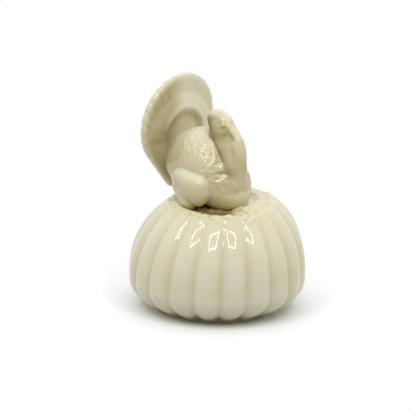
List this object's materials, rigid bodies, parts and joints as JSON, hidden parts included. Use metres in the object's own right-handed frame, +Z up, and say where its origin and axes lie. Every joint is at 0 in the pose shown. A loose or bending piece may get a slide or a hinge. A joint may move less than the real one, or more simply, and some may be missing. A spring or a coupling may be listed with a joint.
{
  "type": "thanksgiving turkey figure",
  "caption": "Glazed ceramic table figure of a displaying turkey, fan tail raised, sitting on the crown of a ribbed pumpkin that stands on a flat foot ring.",
  "frame": {"origin": "centre of the pumpkin's foot ring, on the table it stands on", "axes": "+Z up; the bird looks along -Y and its right side is towards -X"},
  "size_m": [0.0716, 0.0716, 0.0926],
  "materials": {
    "pumpkin_glaze": "clear gloss glaze over an ivory body, a little yellow where it pools",
    "bird_glaze": "clear gloss glaze over an ivory body, yellow-brown where it pools in the feather hollows"
  },
  "bodies": {
    "root": {"pumpkin_shell": "pumpkin_glaze", "turkey_body": "bird_glaze", "tail_fan": "bird_glaze", "tail_coverts": "bird_glaze", "right_wing": "bird_glaze", "left_wing": "bird_glaze", "neck_and_head": "bird_glaze", "snood": "bird_glaze", "wattle": "bird_glaze", "seat_slip_bead": "pumpkin_glaze"}
  },
  "joints": []
}
